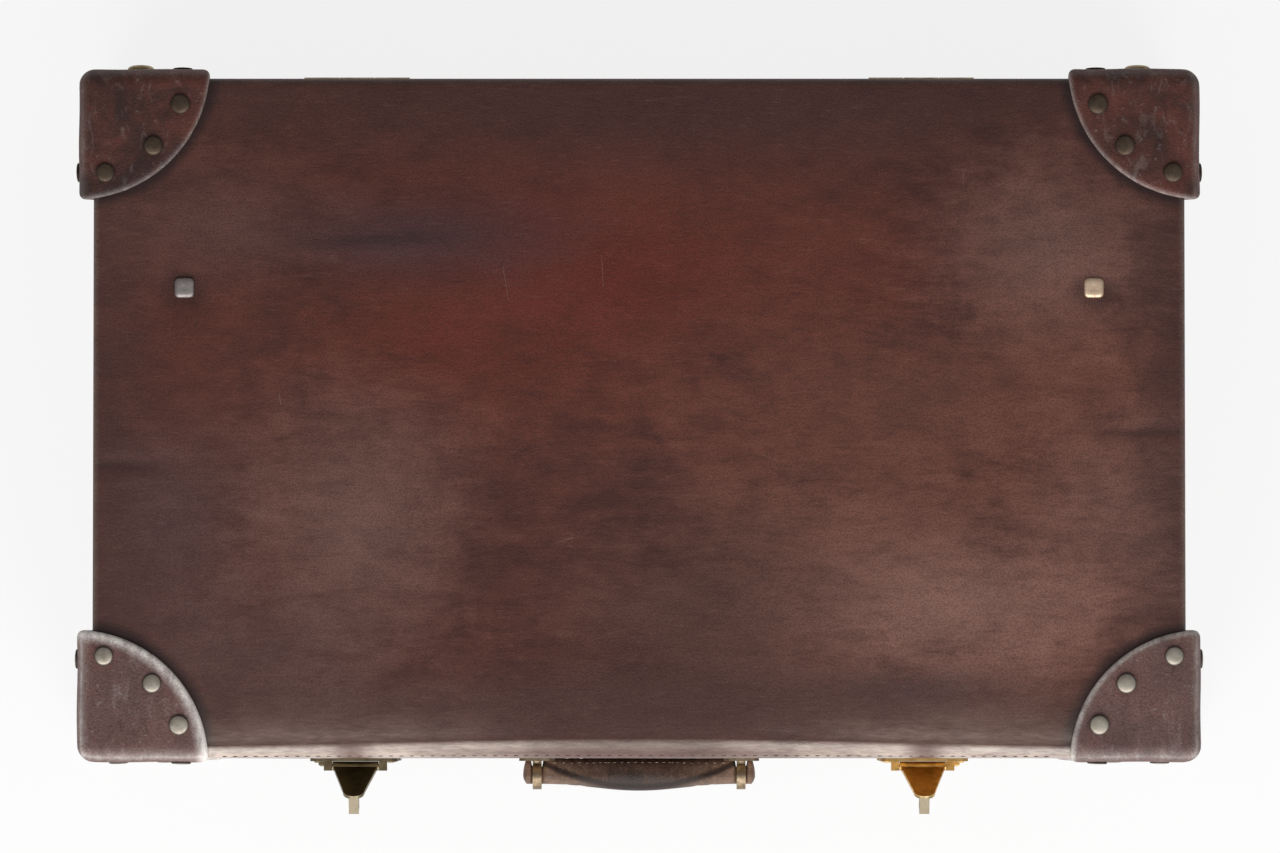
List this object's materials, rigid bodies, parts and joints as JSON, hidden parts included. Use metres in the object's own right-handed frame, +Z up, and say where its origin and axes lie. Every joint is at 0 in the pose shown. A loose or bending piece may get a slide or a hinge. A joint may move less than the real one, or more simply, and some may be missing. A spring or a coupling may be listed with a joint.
{
  "type": "dressing case",
  "caption": "Leather-covered dressing case with hinged lid, riveted corner caps, hasp locks, padded front handle and a lift-out fitted tray.",
  "frame": {"origin": "on the surface that the case lies on, under the middle of its whole outline", "axes": "+X to the right along the front, +Y from the front to the hinges, +Z up through the lid"},
  "size_m": [0.632, 0.4204, 0.1713],
  "materials": {
    "case_leather": "worn, waxed",
    "cap_leather": "worn, greyed",
    "handle_leather": "worn",
    "strap_leather": "satin",
    "brass": "tarnished",
    "rivet": "dull",
    "steel": "dull",
    "wood": "bare pine",
    "lining": "faded cloth"
  },
  "bodies": {
    "base": {"base_back_board": "wood", "base_bottom_board": "wood", "base_cap_back_left": "cap_leather", "base_cap_back_right": "cap_leather", "base_cap_front_left": "cap_leather", "base_cap_front_right": "cap_leather", "base_cap_rivets": "rivet", "base_feet": "brass", "base_front_board": "wood", "base_leather": "case_leather", "base_ledges": "wood", "base_left_board": "wood", "base_lining": "lining", "base_lip": "wood", "base_right_board": "wood", "handle_bracket_rivets": "brass", "hinge_base_screws": "brass", "hinge_pins": "brass", "left_handle_bracket": "brass", "left_hinge_base_leaf": "brass", "left_lock_case": "steel", "left_lock_plate": "brass", "lock_plate_rivets": "brass", "right_handle_bracket": "brass", "right_hinge_base_leaf": "brass", "right_lock_case": "steel", "right_lock_plate": "brass"},
    "lid": {"hasp_pins": "brass", "hasp_plate_rivets": "brass", "hinge_lid_screws": "brass", "left_hasp_plate": "brass", "left_hinge_lid_leaf": "brass", "lid_back_board": "wood", "lid_cap_back_left": "cap_leather", "lid_cap_back_right": "cap_leather", "lid_cap_front_left": "cap_leather", "lid_cap_front_right": "cap_leather", "lid_cap_rivets": "rivet", "lid_feet": "brass", "lid_front_board": "wood", "lid_leather": "case_leather", "lid_left_board": "wood", "lid_lining": "lining", "lid_right_board": "wood", "lid_strap": "strap_leather", "lid_studs": "brass", "lid_top_board": "wood", "right_hasp_plate": "brass", "right_hinge_lid_leaf": "brass"},
    "left_hasp": {"left_hasp": "brass"},
    "right_hasp": {"right_hasp": "brass"},
    "left_slide": {"left_lock_slide": "brass"},
    "right_slide": {"right_lock_slide": "brass"},
    "handle": {"handle_grip": "handle_leather"},
    "tray": {"tray_bottom": "wood", "tray_partitions": "wood", "tray_tabs": "strap_leather", "tray_walls": "wood"}
  },
  "joints": [
    {"name": "lid_hinge", "type": "hinge", "parent": "base", "child": "lid", "pos_m": [0, 0.20411, 0.10515], "axis": [-1, 0, 0], "range_deg": [0, 165]},
    {"name": "handle_swing", "type": "hinge", "parent": "base", "child": "handle", "pos_m": [0, -0.18909, 0.078], "axis": [-1, 0, 0], "range_deg": [0, 170]},
    {"name": "tray_lift", "type": "slide", "parent": "base", "child": "tray", "axis": [0, 0, 1], "range_m": [0, 0.038]},
    {"name": "left_hasp_swing", "type": "hinge", "parent": "lid", "child": "left_hasp", "pos_m": [-0.16, -0.18349, 0.1133], "axis": [1, 0, 0], "range_deg": [0, 150], "stiffness_Nm_per_rad": 0.004, "springref_deg": -34.38},
    {"name": "left_bolt_throw", "type": "slide", "parent": "base", "child": "left_slide", "axis": [1, 0, 0], "range_m": [0, 0.009]},
    {"name": "right_hasp_swing", "type": "hinge", "parent": "lid", "child": "right_hasp", "pos_m": [0.16, -0.18349, 0.1133], "axis": [1, 0, 0], "range_deg": [0, 150], "stiffness_Nm_per_rad": 0.004, "springref_deg": -34.38},
    {"name": "right_bolt_throw", "type": "slide", "parent": "base", "child": "right_slide", "axis": [-1, 0, 0], "range_m": [0, 0.009]}
  ]
}
